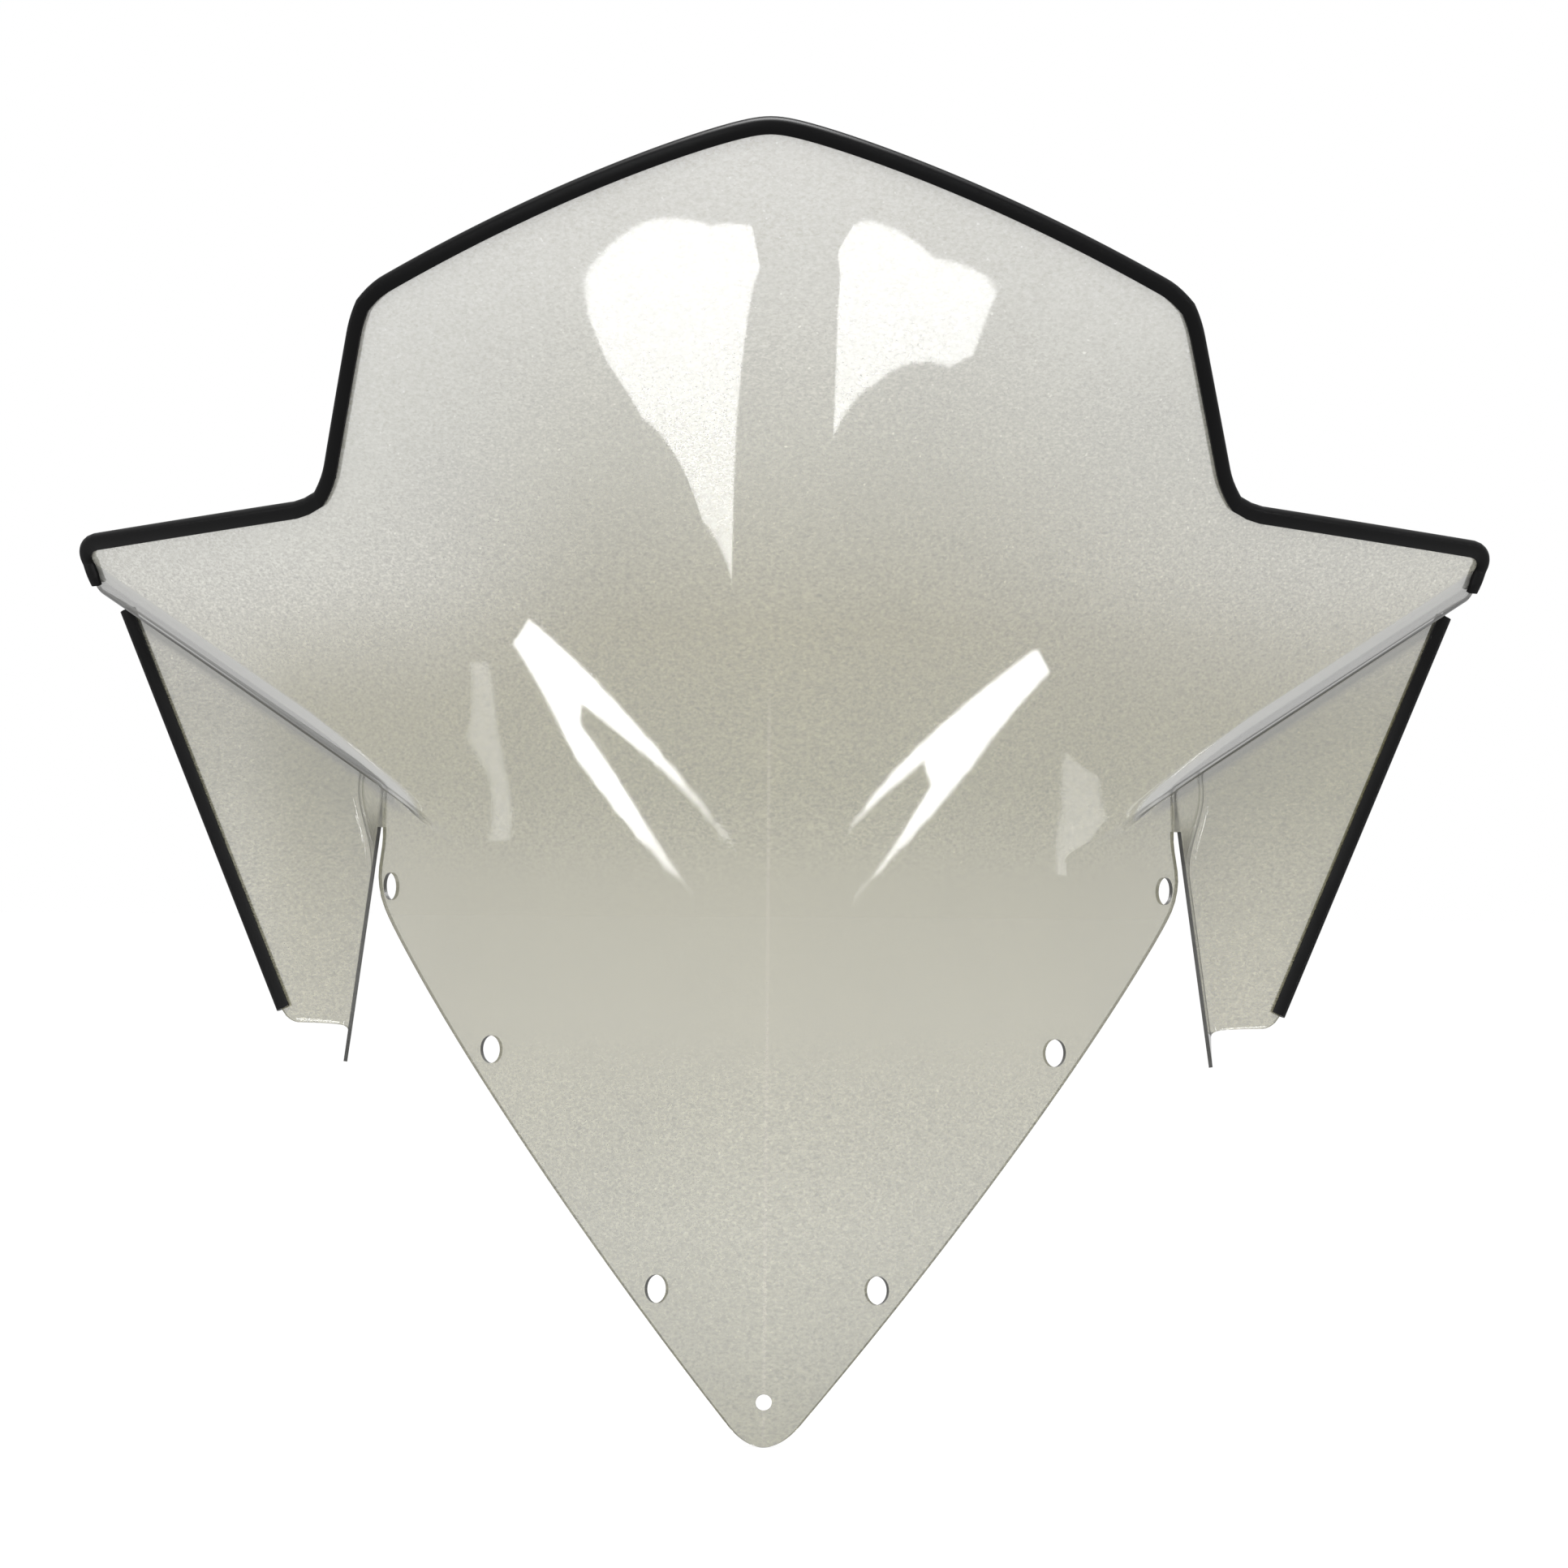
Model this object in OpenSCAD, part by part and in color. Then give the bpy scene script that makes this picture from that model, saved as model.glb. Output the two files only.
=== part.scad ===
// Formed windshield for a small open vehicle: one vacuum-formed polycarbonate
// sheet with a raked nose panel, an upper screen, two swept wings and two side
// panels, edged with three lengths of push-on rubber trim.
// The front faces -Y, +Z is up, and the origin is the nose screw hole.

/* [Sheet] */
// Thickness of the formed sheet
sheet_t = 2; // [1.8:0.1:2.4]
// How far the rounded nose tip reaches below the nose hole
tip_drop = 22; // [20:0.5:25]
// Height of the peak of the sheet above the nose hole
peak_z = 634.5; // [620:0.5:650]

/* [Formed shape] */
// How far the centre line bows back between the nose and the peak
centre_bow = 28; // [15:1:40]
// Height at which the centre line bows back the most
bow_z = 300; // [280:5:320]
// How far the top edge curls forward of the bow
top_curl = 2.5; // [0:0.5:4]
// Depth gained per mm of half width on the nose panel
nose_sweep = 0.93; // [0.85:0.01:1]
// Depth gained per mm of half width at the peak
peak_sweep = 0.4; // [0.3:0.01:0.5]
// Roundness of the keel at the nose tip
keel_nose = 22; // [15:1:30]
// Roundness of the keel at the peak
keel_peak = 70; // [50:1:90]
// Half width at which the cheeks start to turn back
cheek_x = 150; // [140:1:155]

/* [Fold] */
// Half width of the inner end of the fold under each wing
fold_x = 175; // [170:1:180]
// Height of the inner end of the fold
fold_z = 283; // [278:1:288]
// Rise of the fold per mm of half width
fold_rise = 0.65; // [0.62:0.005:0.67]
// Radius of the rolled edge along the fold
roll_r = 11; // [9:0.5:12]

/* [Side panel] */
// Half width of the flange at its lower end
flange_x = 229.5; // [227:0.5:232]
// Height of the lower end of the flange
flange_z = 159; // [150:1:165]
// Depth from the flange's front edge to its bend
flange_depth = 26; // [20:1:32]
// Radius of the bend between flange and side panel
bend_r = 8; // [6:0.5:10]
// Angle at which the side panel sweeps back
panel_sweep = 20; // [18:1:24]
// Height of the lower edge of the side panel
panel_z = 178; // [174:1:182]
// Half width of the side panel at its lower edge
panel_x = 264; // [258:1:268]

/* [Wing] */
// Half width of the inside corner between wing and upper screen
wing_corner_x = 238; // [236:1:242]
// Height of that corner
wing_corner_z = 454; // [450:1:458]
// Half width of the wing tip
wing_tip_x = 379; // [370:1:390]
// Height of the wing tip
wing_tip_z = 434; // [430:1:438]
// Half width of the wing's outer edge where the roll begins
wing_foot_x = 373; // [370:1:376]

/* [Upper screen] */
// Half width of the upper corner
corner_x = 211; // [205:1:215]
// Height of the upper corner
corner_z = 550; // [545:0.5:555]

/* [Holes] */
// Diameter of the six grommet holes
grommet_d = 14.3; // [12:0.1:16]
// Diameter of the nose screw hole
nose_d = 8; // [6:0.1:9]

/* [Edge trim] */
// Depth of the trim's slot
trim_leg = 6.5; // [5:0.5:7]
// Thickness of the trim over the edge of the sheet
trim_crown = 3; // [2:0.5:4]
// Thickness of the trim across the sheet
trim_w = 5.8; // [5.2:0.1:6.5]

/* [Hidden] */
smoke = [0.62, 0.61, 0.55, 0.6];
black = [0.07, 0.07, 0.08];
hole_facets = 48;

// Columns, counted out from the keel: fold end, cheek edge, flange, bend, panel edge.
col_fold = 9;
col_cheek = col_fold + 4;
col_flange = col_cheek + 1;
col_bend = col_flange + 2;
col_panel = col_bend + 3;
col_end = col_panel + 7;
// Rows, counted up from the nose tip: slot end, fold, roll, wing top, peak.
row_slot = 14;
row_side = 6;
row_fold = row_slot + 2;
row_roll = row_fold + 8;
row_wing = row_roll + 9;
row_peak = row_wing + 8;

// Centre-line heights of the main rows.
slot_centre_z = 215;
fold_centre_z = fold_z - fold_rise * fold_x / 2;
roll_centre_rise = 18;
wing_centre_z = wing_corner_z + 6;

function clamp01(t) = max(0, min(1, t));
function ease(a, b, t) = let (s = clamp01((t - a) / (b - a))) s * s * (3 - 2 * s);
function mix(a, b, t) = a + (b - a) * t;
function soft_min(a, b, k) = (a + b - sqrt((a - b) * (a - b) + k * k)) / 2;
function unit(v) = v / norm(v);

// Depth of the formed surface behind the nose hole, before cheeks and flanges.
bow_half = bow_z + tip_drop;
curl_z = 560;
function bow(z) = centre_bow * (1 - pow((z - bow_z) / bow_half, 2))
    - top_curl * pow(max(0, z - curl_z) / (peak_z - curl_z), 2);
// The steep sweep of the nose panel eases into that of the peak, later on the wings.
sweep_low_z = 250;
sweep_high_z = 640;
sweep_lag = 0.2;
sweep_lag_x = 200;
function sweep_part(x, z) = ease(sweep_low_z, sweep_high_z, z - sweep_lag * max(0, x - sweep_lag_x));
function formed_y(x, z) =
    let (k = sweep_part(x, z), r = mix(keel_nose, keel_peak, clamp01(z / peak_z)))
    bow(z) - bow(0) + mix(nose_sweep, peak_sweep, k) * (sqrt(x * x + r * r) - r);
// The cheeks turn back ever more steeply beside the nose panel.
cheek_turn = 0.0064;
function cheek_y(x, z, turn = cheek_turn) = formed_y(x, z) + turn * pow(max(0, x - cheek_x), 2);
// Direction square to the formed surface, pointing out of its front.
function outward(x, z, turn = cheek_turn) = unit([
    cheek_y(x + 0.5, z, turn) - cheek_y(x - 0.5, z, turn), -1,
    cheek_y(x, z + 0.5, turn) - cheek_y(x, z - 0.5, turn)]);

// Outline of the nose panel: a nearly straight border that rounds into a slot.
slot_x = 211.5;
slot_z = fold_z;
slot_round = 6;
tip_rise = 12.7;
border_z0 = tip_rise - tip_drop;
border_start = 28.5;
border_slope = 0.868;
border_bend = 0.0005;
// The border draws in a little beside the end of the slot.
relief = 3.5;
relief_z = [slot_z - 28, slot_z - 3];
function border_x(z) =
    soft_min(border_start + border_slope * z - border_bend * z * z, slot_x, slot_round)
    - relief * ease(relief_z[0], relief_z[1], z);

// Height of the fold line over the half width.
function fold_line(x) = x > fold_x ? fold_z + fold_rise * (x - fold_x)
    : fold_centre_z + fold_rise * x * x / (2 * fold_x);

// Half widths of the columns along the fold, out to the cheek edge.
cheek_edge_x = border_x(slot_z);
function column_x(j) = j <= col_fold ? fold_x * j / col_fold
    : mix(fold_x, cheek_edge_x, (j - col_fold) / (col_cheek - col_fold));

// Flange, bend and side panel at height z, for a column outside the slot.
flange_lean = 0.142;
flange_y = 219;
flange_rake = 0.03;
function flange_front(z) =
    [flange_x - flange_lean * (z - flange_z), flange_y + flange_rake * (slot_z - z)];
// The flange runs nearly straight back low down and splays outward towards the fold.
foot_splay = 2;
fold_splay = 14;
splay_reach = 25;
function flange_back(z) =
    let (splay = fold_splay * ease(slot_z - splay_reach, slot_z + splay_reach, z))
    flange_front(z) + [foot_splay + splay, flange_depth + splay * tan(panel_sweep)];
function panel_start(z) =
    flange_back(z) + bend_r * [1 - sin(panel_sweep), cos(panel_sweep)];
panel_lean = 0.42;
function panel_edge_x(z) = panel_x + panel_lean * (z - panel_z);
function side_xy(j, z) =
    j <= col_bend ? mix(flange_front(z), flange_back(z), (j - col_flange) / (col_bend - col_flange))
    : j <= col_panel ?
        let (a = 180 - (90 - panel_sweep) * (j - col_bend) / (col_panel - col_bend))
        flange_back(z) + bend_r * [1 + cos(a), sin(a)]
    : let (p = panel_start(z), s = (j - col_panel) / (col_end - col_panel),
           dx = s * (panel_edge_x(z) - p.x))
        p + [dx, dx * tan(panel_sweep)];
// Lower and upper ends of a side column; the flange hangs a little lower.
foot_fillet = 1.6;
panel_corner = 3;
fold_tuck = 5;
function side_foot(j) = j == col_end ? panel_z + panel_corner
    : panel_z - (panel_z - flange_z) * exp(-max(0, j - col_flange) / foot_fillet);
function side_head(j, z = 300, n = 6) = n == 0 ? z
    : side_head(j, fold_line(side_xy(j, z).x) - fold_tuck, n - 1);
heads = [for (j = [0:col_end]) j < col_flange ? 0 : side_head(j)];

// Point of a row on or below the fold; the cheek tucks under the fold's inner end.
tuck_x = [fold_x - 40, fold_x + 20];
function low_point(i, j) =
    j <= col_cheek && i <= row_slot ?
        let (v = i / row_slot,
             zb = mix(border_z0, slot_z, v),
             zc = mix(-tip_drop, slot_centre_z, v),
             s = column_x(j) / cheek_edge_x,
             x = s * border_x(zb), z = mix(zc, zb, s * s))
        [x, cheek_y(x, z), z]
    : j <= col_cheek ?
        let (a = low_point(row_slot, j), x = column_x(j),
             z = mix(a.z, fold_line(x) - fold_tuck * ease(tuck_x[0], tuck_x[1], x),
                     (i - row_slot) / (row_fold - row_slot)))
        [x, cheek_y(x, z), z]
    : let (foot = side_foot(j), head = heads[j],
           slot_part = (slot_z - flange_z) / (heads[col_flange] - flange_z),
           t = i <= row_slot ? slot_part * (i - row_side) / (row_slot - row_side)
               : mix(slot_part, 1, (i - row_slot) / (row_fold - row_slot)),
           z = mix(foot, head, t), p = side_xy(j, z))
        [p.x, p.y, z];

// Point on the formed surface just above the rolled fold.
wing_root_x = 225;
roll_root_rise = 3;
roll_grow_x = [fold_x + 5, wing_root_x + 5];
far_x = low_point(row_fold, col_end).x;
function outboard(x) = pow(max(0, x - wing_root_x) / (far_x - wing_root_x), 2);
function roll_top(j) =
    let (p = low_point(row_fold, j),
         x = p.x + (wing_foot_x - far_x) * outboard(p.x),
         up = x < fold_x ? mix(roll_centre_rise, roll_root_rise, ease(0, fold_x, x))
             : mix(roll_root_rise, roll_r, ease(roll_grow_x[0], roll_grow_x[1], x)),
         z = fold_line(x) + up)
    [x, formed_y(x, z), z];
// Point on the roll and the wall behind it, t running from the wing down to the panel.
tip_lean = 0.4;
edge_back = 1;
wall_bend = 5;
roll_part = 0.5;
wall_part = 0.75;
// Depth of the fold over which it turns from a soft line into a full roll.
roll_steps = [4, 16];
hair = [0, 0.001, 0];
function roll_point(j, t) =
    let (top = roll_top(j), low = low_point(row_fold, j),
         step = low.y - formed_y(low.x, low.z), r = min(roll_r, step / 3),
         edge_x = top.x - tip_lean * roll_r * outboard(low.x),
         edge = [edge_x, top.y - edge_back, fold_line(edge_x)],
         wall = [low.x, low.y, fold_line(low.x)], run = wall - edge + hair,
         turn = edge + r * unit(run), back = wall - wall_bend / norm(run) * (wall - edge),
         shaped = t < roll_part ? bend_curve(top, edge, turn, t / roll_part)
             : t < wall_part ? mix(turn, back, (t - roll_part) / (wall_part - roll_part))
             : bend_curve(back, wall, low, (t - wall_part) / (1 - wall_part)),
         z = mix(top.z, low.z, t), x = mix(top.x, low.x, t),
         flat = [x, mix(formed_y(x, z), cheek_y(x, z), ease(0, 1, t)), z])
    mix(flat, shaped, ease(roll_steps[0], roll_steps[1], step));
function bend_curve(a, b, c, t) = (1 - t) * (1 - t) * a + 2 * t * (1 - t) * b + t * t * c;

// Upper edge of the wing: straight, with a rounded corner against the screen.
wing_round = 12;
wing_round_z = 5;
wing_root = [wing_corner_x + wing_round, wing_corner_z - wing_round_z];
function wing_edge_z(x) =
    mix(wing_root[1], wing_tip_z, (x - wing_root[0]) / (wing_tip_x - wing_root[0]))
    + wing_round_z * pow(max(0, wing_root[0] - x) / wing_round, 2);
function wing_head(j) =
    j <= col_panel ?
        let (s = j / col_panel, x = s * wing_corner_x)
        [x, mix(wing_centre_z, wing_corner_z, s * s)]
    : let (s = (j - col_panel) / (col_end - col_panel),
           x = mix(wing_corner_x, wing_tip_x, s))
        [x, wing_edge_z(x)];
function wing_point(i, j) =
    let (a = roll_top(j), b = wing_head(j), t = (i - row_roll) / (row_wing - row_roll),
         x = mix(a.x, b.x, t), z = mix(a.z, b.y, t))
    [x, formed_y(x, z), z];

// Outline of the upper screen: two arching edges from a rounded peak to rounded corners.
peak_slope = 0.27;
peak_round = 12;
peak_arch = 0.0006;
corner_round = 13;
corner_drop = 4;
function peak_edge_z(x) =
    peak_z - peak_slope * (sqrt(x * x + peak_round * peak_round) - peak_round) - peak_arch * x * x
    - corner_drop * pow(max(0, x - corner_x + corner_round) / corner_round, 2);
// Its sides flare out into the wings below and turn in to the corners above.
foot_flare = 3.5;
foot_part = 0.16;
head_tuck = 2;
head_part = 0.15;
function screen_edge(v) =
    [mix(wing_corner_x - foot_flare, corner_x + head_tuck, v)
         + foot_flare * pow(max(0, 1 - v / foot_part), 2)
         - head_tuck * pow(max(0, v - 1 + head_part) / head_part, 2),
     mix(wing_corner_z, corner_z, v)];
function upper_point(i, j) =
    let (v = (i - row_wing) / (row_peak - row_wing), e = screen_edge(v), s = j / col_panel,
         drop = (peak_z - peak_edge_z(s * corner_x)) / (peak_z - peak_edge_z(corner_x)),
         low_drop = s * s, x = s * e.x,
         z = mix(mix(wing_centre_z, peak_z, v), e.y, mix(low_drop, drop, v)))
    [x, formed_y(x, z), z];

function half_point(i, j) =
    i <= row_fold ? low_point(i, j)
    : i < row_roll ? roll_point(j, 1 - (i - row_fold) / (row_roll - row_fold))
    : i <= row_wing ? wing_point(i, j)
    : upper_point(i, j);

// Which cells of the half grid are sheet: the slot and the space above the wing are not.
function cell(i, j) = let (c = j < 0 ? -j - 1 : j)
    i >= 0 && i < row_peak && c < col_end && (
        i < row_slot ? (c < col_cheek || (c > col_cheek && i >= row_side))
        : i < row_wing ? true : c < col_panel);
function used(i, j) = cell(i, j) || cell(i - 1, j) || cell(i, j - 1) || cell(i - 1, j - 1);

front_half = [for (i = [0:row_peak]) [for (j = [0:col_end]) used(i, j) ? half_point(i, j) : undef]];
function front(i, j) = let (p = front_half[i][abs(j)]) j < 0 ? [-p.x, p.y, p.z] : p;
function across(i, j) =
    front(i, cell(i, j) || cell(i - 1, j) ? j + 1 : j)
    - front(i, cell(i, j - 1) || cell(i - 1, j - 1) ? j - 1 : j);
function upward(i, j) =
    front(cell(i, j) || cell(i, j - 1) ? i + 1 : i, j)
    - front(cell(i - 1, j) || cell(i - 1, j - 1) ? i - 1 : i, j);
function back(i, j) =
    let (p = front(i, j), panel = i <= row_slot && abs(j) <= col_cheek,
         n = panel ? outward(abs(p.x), p.z) : outward(abs(p.x), p.z, 0))
    panel || i > row_roll ? p - sheet_t * [j < 0 ? -n.x : n.x, n.y, n.z]
    : p + sheet_t * unit(cross(upward(i, j), across(i, j)));

// Every grid point once on the front and once on the back of the sheet.
stride = 2 * col_end + 1;
layer = (row_peak + 1) * stride;
function spot(side, i, j) = side * layer + i * stride + j + col_end;
sheet_points = [for (side = [0, 1]) for (i = [0:row_peak]) for (j = [-col_end:col_end])
    !used(i, j) ? [0, 0, 0] : side == 0 ? front(i, j) : back(i, j)];
// Two triangles from four corners given in order.
function quad(a, b, c, d) = [[a, b, c], [a, c, d]];
function wall(i, j, k, m) = quad(spot(0, k, m), spot(1, k, m), spot(1, i, j), spot(0, i, j));
sheet_faces = [for (i = [0:row_peak - 1]) for (j = [-col_end:col_end - 1]) if (cell(i, j)) each [
    each quad(spot(0, i, j), spot(0, i + 1, j), spot(0, i + 1, j + 1), spot(0, i, j + 1)),
    each quad(spot(1, i, j), spot(1, i, j + 1), spot(1, i + 1, j + 1), spot(1, i + 1, j)),
    if (!cell(i - 1, j)) each wall(i, j, i, j + 1),
    if (!cell(i + 1, j)) each wall(i + 1, j + 1, i + 1, j),
    if (!cell(i, j - 1)) each wall(i + 1, j, i, j),
    if (!cell(i, j + 1)) each wall(i, j + 1, i + 1, j + 1)]];

// Hole places as half width and height: beside the nose, mid way, and at the slots.
hole_spots = [[56, 53], [145.5, 169.5], [203.5, 252]];
// A drill square to the sheet at half width x (negative on the left) and height z.
module drill(x, z, d) {
    n = outward(abs(x), z);
    side = x < 0 ? -1 : 1;
    translate([x, cheek_y(abs(x), z), z])
        rotate([0, acos(n.z), atan2(n.y, side * n.x)])
            cylinder(d = d, h = 8 * sheet_t, center = true, $fn = hole_facets);
}

// Edge trim: a channel drawn as [outward from the sheet's edge, across the sheet].
slot_play = 0.1;
half_slot = sheet_t / 2 + slot_play;
half_w = trim_w / 2;
lip = 0.8;
lip_w = 0.7 * half_w;
crown_low = 0.2 * trim_crown;
crown_mid = 0.75 * trim_crown;
crown_w = 0.3 * half_w;
near_side = [[-trim_leg, lip_w], [lip - trim_leg, half_w], [crown_low, half_w],
             [crown_mid, lip_w], [trim_crown, crown_w]];
far_side = [for (k = [len(near_side) - 1:-1:0]) [near_side[k][0], -near_side[k][1]]];
trim_section = concat(near_side, far_side,
    [[-trim_leg, -half_slot], [0, -half_slot], [0, half_slot], [-trim_leg, half_slot]]);

// Path of a trim as grid places, with the frame of its section at each one.
function middle(p) = (front(p[0], p[1]) + back(p[0], p[1])) / 2;
module trim(path) {
    n = len(path);
    m = len(trim_section);
    spine = [for (p = path) middle(p)];
    rings = [for (k = [0:n - 1])
        let (a = k > 0 ? unit(spine[k] - spine[k - 1]) : unit(spine[1] - spine[0]),
             b = k < n - 1 ? unit(spine[k + 1] - spine[k]) : a,
             skin = unit(back(path[k][0], path[k][1]) - front(path[k][0], path[k][1])),
             along = unit(a + b), out = unit(cross(skin, along)),
             reach = 1 / (a * along))
        for (q = trim_section) spine[k] + q[0] * reach * out + q[1] * skin];
    sides = [for (k = [0:n - 2]) for (q = [0:m - 1])
        let (r = (q + 1) % m) each quad(k * m + q, k * m + r, (k + 1) * m + r, (k + 1) * m + q)];
    ends = [[for (q = [m - 1:-1:0]) q], [for (q = [0:m - 1]) (n - 1) * m + q]];
    polyhedron(rings, concat(sides, ends), convexity = 8);
}
half_top_path = concat(
    [for (i = [row_roll - 2:row_wing - 1]) [i, col_end]],
    [for (j = [col_end:-1:col_panel + 1]) [row_wing, j]],
    [for (i = [row_wing:row_peak - 1]) [i, col_panel]],
    [for (j = [col_panel:-1:1]) [row_peak, j]]);
function flip(path) = [for (k = [len(path) - 1:-1:0]) [path[k][0], -path[k][1]]];
side_path = [for (i = [row_side:row_fold]) [i, col_end]];

module screen() color(smoke) {
    difference() {
        polyhedron(sheet_points, sheet_faces, convexity = 12);
        drill(0, 0, nose_d);
        for (side = [-1, 1]) for (h = hole_spots) drill(side * h[0], h[1], grommet_d);
    }
}
module top_trim() color(black) 
    trim(concat(half_top_path, [[row_peak, 0]], flip(half_top_path)));
module right_trim() color(black) trim(side_path);
module left_trim() color(black) trim(flip(side_path));

screen();
top_trim();
left_trim();
right_trim();
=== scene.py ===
from math import cos, exp, hypot, pi, radians, sin, sqrt, tan

import bmesh
import bpy
from mathutils import Matrix, Vector


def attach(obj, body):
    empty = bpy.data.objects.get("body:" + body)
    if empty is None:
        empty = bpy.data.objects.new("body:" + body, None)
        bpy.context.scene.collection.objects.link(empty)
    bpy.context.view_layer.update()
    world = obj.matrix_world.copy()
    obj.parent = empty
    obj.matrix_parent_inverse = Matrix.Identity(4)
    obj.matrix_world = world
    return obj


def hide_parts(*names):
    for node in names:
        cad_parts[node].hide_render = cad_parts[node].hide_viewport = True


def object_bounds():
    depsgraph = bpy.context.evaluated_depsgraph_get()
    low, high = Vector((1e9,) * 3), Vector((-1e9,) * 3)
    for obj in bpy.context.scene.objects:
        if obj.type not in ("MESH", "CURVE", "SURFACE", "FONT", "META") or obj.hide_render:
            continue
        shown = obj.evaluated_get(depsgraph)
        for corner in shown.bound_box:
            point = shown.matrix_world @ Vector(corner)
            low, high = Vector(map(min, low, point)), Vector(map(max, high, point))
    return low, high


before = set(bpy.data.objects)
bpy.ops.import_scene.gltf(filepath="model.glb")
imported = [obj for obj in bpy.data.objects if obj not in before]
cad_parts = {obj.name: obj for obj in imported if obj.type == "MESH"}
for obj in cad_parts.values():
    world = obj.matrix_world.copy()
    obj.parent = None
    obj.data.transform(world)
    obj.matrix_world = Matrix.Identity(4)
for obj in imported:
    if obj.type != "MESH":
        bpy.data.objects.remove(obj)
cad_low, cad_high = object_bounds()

# ------------------------------------------------------------ the smoked sheet
# One 2 mm sheet of light smoke polycarbonate. It is heated and drawn over a male
# mould, routed to its outline, slotted on both sides of the nose panel, and
# drilled for six grommets and the nose screw that hold it to the hood.

MM = 0.001
SHEET_T = 2.0
# The drawn surface, in mm: its bow along the centre line and its sweep to the sides.
TIP_DROP, PEAK_Z = 22.0, 634.5
CENTRE_BOW, BOW_Z, TOP_CURL, CURL_Z = 28.0, 300.0, 2.5, 560.0
NOSE_SWEEP, PEAK_SWEEP = 0.93, 0.40
SWEEP_LOW_Z, SWEEP_HIGH_Z, SWEEP_LAG, SWEEP_LAG_X = 250, 640, 0.2, 200
KEEL_NOSE, KEEL_PEAK = 22.0, 70.0
CHEEK_X, CHEEK_TURN = 150.0, 0.0064
# The nose panel's border and the slot beside it.
SLOT_X, SLOT_CENTRE_Z, SLOT_ROUND = 211.5, 215.0, 6
BORDER_Z0, BORDER_START, BORDER_SLOPE, BORDER_BEND = 12.7 - TIP_DROP, 28.5, 0.868, 0.0005
RELIEF, RELIEF_DEEP, RELIEF_SHALLOW = 3.5, 28, 3
# The fold under the wing and the roll that grows out of it.
FOLD_X, FOLD_Z, FOLD_RISE, FOLD_TUCK = 175.0, 283.0, 0.65, 5
TUCK_INSIDE, TUCK_OUTSIDE = 40, 20
ROLL_R, ROLL_CENTRE_RISE, ROLL_ROOT_RISE, ROLL_GROW = 11.0, 18, 3, 5
ROLL_PART, WALL_PART, WALL_BEND, EDGE_BACK, TIP_LEAN = 0.5, 0.75, 5, 1, 0.4
SOFT_STEP, FULL_STEP = 4, 16
HAIR = 0.001  # keeps the run from the roll to the wall from having no length
# The flange, its bend and the side panel.
FLANGE_X, FLANGE_Y, FLANGE_Z, FLANGE_DEPTH = 229.5, 219, 159.0, 26.0
FLANGE_LEAN, FLANGE_RAKE = 0.142, 0.03
FOOT_SPLAY, FOLD_SPLAY, SPLAY_REACH, FOOT_FILLET = 2, 14, 25, 1.6
BEND_R, PANEL_SWEEP = 8.0, radians(20)
PANEL_X, PANEL_Z, PANEL_LEAN, PANEL_CORNER = 264.0, 178.0, 0.42, 7.0
# The wing.
WING_CORNER_X, WING_CORNER_Z, WING_CENTRE_RISE, WING_ROOT_X = 238.0, 454.0, 6, 225.0
WING_ROUND, WING_ROUND_Z, TIP_CROWD = 12, 5, 1.3
WING_TIP_X, WING_TIP_Z, WING_FOOT_X, TIP_ROUND = 379.0, 434.0, 373.0, 12.0
# The upper screen.
CORNER_X, CORNER_Z, CORNER_ROUND, CORNER_DROP = 211.0, 550.0, 13, 4
PEAK_SLOPE, PEAK_ROUND, PEAK_ARCH = 0.27, 12, 0.0006
FOOT_FLARE, FOOT_PART, HEAD_TUCK, HEAD_PART = 3.5, 0.16, 2, 0.15
# The drilled holes: diameters, and places on the right half.
GROMMET_D, NOSE_D = 14.3, 8.0
GROMMETS = ((56.0, 53.0), (145.5, 169.5), (203.5, 252.0))
# Columns run out from the keel and rows run up from the nose tip.
COL_FOLD, COL_CHEEK, COL_FLANGE, COL_BEND, COL_PANEL, COL_END = 9, 13, 14, 16, 19, 26
ROW_SIDE, ROW_SLOT, ROW_FOLD, ROW_ROLL, ROW_WING, ROW_PEAK = 6, 14, 16, 24, 33, 41
FINE = 4  # divisions of each row and column
PROBE = 0.5  # half the distance over which a slope is measured
SHARP = radians(50)  # edges that turn by more than this are shaded sharp


def ease(a, b, t):
    """0 below a, 1 above b, and a smooth rise between."""
    s = max(0.0, min(1.0, (t - a) / (b - a)))
    return s * s * (3 - 2 * s)


def mix(a, b, t):
    return a + (b - a) * t


def bow(z):
    """Depth of the centre line against its depth at the nose tip."""
    curl = TOP_CURL * (max(0, z - CURL_Z) / (PEAK_Z - CURL_Z)) ** 2
    return CENTRE_BOW * (1 - ((z - BOW_Z) / (BOW_Z + TIP_DROP)) ** 2) - curl


def formed_y(x, z):
    """Depth of the drawn front face, before its cheeks turn back."""
    flat = ease(SWEEP_LOW_Z, SWEEP_HIGH_Z, z - SWEEP_LAG * max(0, x - SWEEP_LAG_X))
    keel = mix(KEEL_NOSE, KEEL_PEAK, max(0, min(1, z / PEAK_Z)))
    return bow(z) - bow(0) + mix(NOSE_SWEEP, PEAK_SWEEP, flat) * (hypot(x, keel) - keel)


def cheek_y(x, z):
    """The same with the cheeks, which turn back ever more steeply."""
    return formed_y(x, z) + CHEEK_TURN * max(0, x - CHEEK_X) ** 2


def slopes(depth, x, z):
    """How steeply the depth grows outward and upward at a place on the sheet."""
    return (depth(x + PROBE, z) - depth(x - PROBE, z),
            depth(x, z + PROBE) - depth(x, z - PROBE))


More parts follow.
